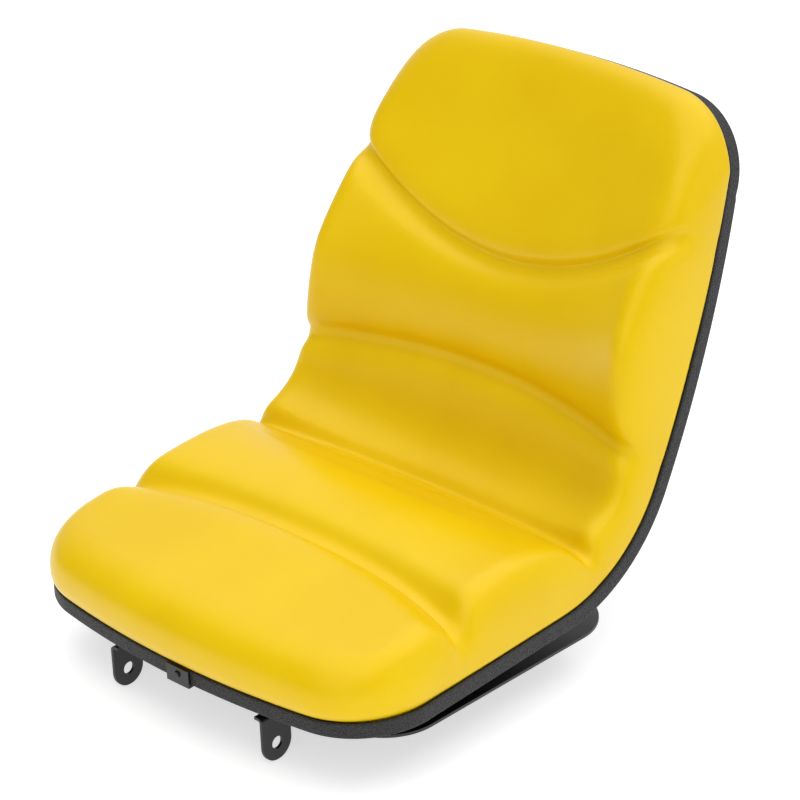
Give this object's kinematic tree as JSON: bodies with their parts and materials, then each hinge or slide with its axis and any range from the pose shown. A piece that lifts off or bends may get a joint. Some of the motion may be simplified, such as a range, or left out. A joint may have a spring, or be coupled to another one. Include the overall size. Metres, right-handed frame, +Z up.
{
  "type": "tractor seat",
  "caption": "High-back bucket seat for a garden tractor: moulded vinyl cushion with grooved pads on a bent steel pan, black edge trim, and a mounting plate with two pivot ears.",
  "frame": {"origin": "on the pivot line of the two mounting ears, midway between them", "axes": "+X along the pivot line, to the viewer's right in a front view; +Y from the front of the seat to its back; +Z up, square to the mounting plate"},
  "size_m": [0.4794, 0.6034, 0.5204],
  "materials": {
    "vinyl": "satin yellow vinyl over foam",
    "trim": "pebbled black plastic",
    "black_steel": "satin black paint",
    "bright_steel": "zinc plated"
  },
  "bodies": {
    "root": {"cushion": "vinyl", "edge_trim": "trim", "seat_pan": "black_steel", "mount_plate": "black_steel", "weld_nuts": "bright_steel", "washers": "bright_steel", "bolts": "bright_steel", "trim_clip": "black_steel", "rivet": "black_steel"}
  },
  "joints": []
}
